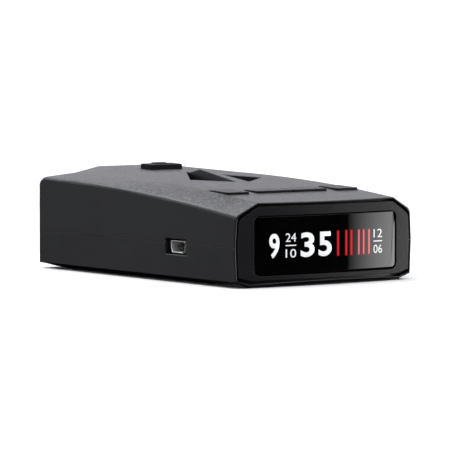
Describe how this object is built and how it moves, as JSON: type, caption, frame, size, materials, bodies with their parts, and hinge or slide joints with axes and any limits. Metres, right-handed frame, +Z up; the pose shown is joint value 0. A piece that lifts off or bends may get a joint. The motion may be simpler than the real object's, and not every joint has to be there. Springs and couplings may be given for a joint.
{
  "type": "radar detector",
  "caption": "Windscreen-mounted radar detector: bevelled two-part case, octagonal display front, top keys, sprung bracket release and side power socket.",
  "frame": {"origin": "middle of the base, at the centre of the object's bounding box", "axes": "+X to the right for a driver who looks at the display, the display faces -Y, the road-facing end is at +Y, +Z is up"},
  "size_m": [0.07, 0.1126, 0.0348],
  "materials": {
    "case_plastic": "fine moulded texture, matt",
    "bezel_plastic": "smooth moulded, satin",
    "window_gloss": "polished, dark tint",
    "display_glass": "black display glass with lit segments",
    "circuit_board": "solder mask",
    "inner_plastic": "plain moulded",
    "flex_cable": "polyimide film",
    "key_plastic": "smooth moulded, satin",
    "release_plastic": "moulded, satin",
    "spring_steel": "drawn wire",
    "bright_steel": "bright plated sheet",
    "chip_plastic": "moulded epoxy",
    "cast_zinc": "as cast",
    "laser_lens": "polished dark red",
    "speaker_cone": "pressed cone",
    "label_film": "blank silver film",
    "screw_steel": "blackened steel"
  },
  "bodies": {
    "case": {"upper_case": "case_plastic", "lower_case": "case_plastic", "front_bezel": "bezel_plastic", "display_window": "window_gloss", "display_panel": "display_glass", "display_board": "circuit_board", "display_holder": "inner_plastic", "display_flex": "flex_cable", "key_board": "circuit_board", "bracket_channel": "inner_plastic", "release_spring": "spring_steel", "usb_socket": "bright_steel", "usb_insulator": "inner_plastic", "main_board": "circuit_board", "processor_chip": "chip_plastic", "rf_shield": "bright_steel", "horn_antenna": "cast_zinc", "rear_lens": "laser_lens", "laser_sensor": "chip_plastic", "sensor_board": "circuit_board", "speaker_frame": "bright_steel", "speaker_cone": "speaker_cone", "rating_label": "label_film", "power_switch": "chip_plastic", "volume_down_switch": "chip_plastic", "volume_up_switch": "chip_plastic", "mute_switch": "chip_plastic", "key_board_screw_1": "screw_steel", "key_board_screw_2": "screw_steel", "case_screw_1": "screw_steel", "board_screw_1": "screw_steel", "case_screw_2": "screw_steel", "board_screw_2": "screw_steel", "case_screw_3": "screw_steel", "board_screw_3": "screw_steel", "case_screw_4": "screw_steel", "board_screw_4": "screw_steel"},
    "power": {"power_key": "key_plastic", "power_plunger": "chip_plastic"},
    "volume_down": {"volume_down_key": "key_plastic", "volume_down_plunger": "chip_plastic"},
    "volume_up": {"volume_up_key": "key_plastic", "volume_up_plunger": "chip_plastic"},
    "mute": {"mute_key": "key_plastic", "mute_plunger": "chip_plastic"},
    "release": {"release_button": "release_plastic"}
  },
  "joints": [
    {"name": "power_press", "type": "slide", "parent": "case", "child": "power", "axis": [0, 0, -1], "range_m": [0, 0.0004], "stiffness_N_per_m": 2000, "springref_m": -0.0002},
    {"name": "volume_down_press", "type": "slide", "parent": "case", "child": "volume_down", "axis": [0, 0, -1], "range_m": [0, 0.0004], "stiffness_N_per_m": 2000, "springref_m": -0.0002},
    {"name": "volume_up_press", "type": "slide", "parent": "case", "child": "volume_up", "axis": [0, 0, -1], "range_m": [0, 0.0004], "stiffness_N_per_m": 2000, "springref_m": -0.0002},
    {"name": "mute_press", "type": "slide", "parent": "case", "child": "mute", "axis": [0, 0, -1], "range_m": [0, 0.0004], "stiffness_N_per_m": 2000, "springref_m": -0.0002},
    {"name": "release_press", "type": "slide", "parent": "case", "child": "release", "axis": [0, 0, -1], "range_m": [0, 0.0012], "stiffness_N_per_m": 900, "springref_m": -0.001, "deforming": ["release_spring"]}
  ]
}
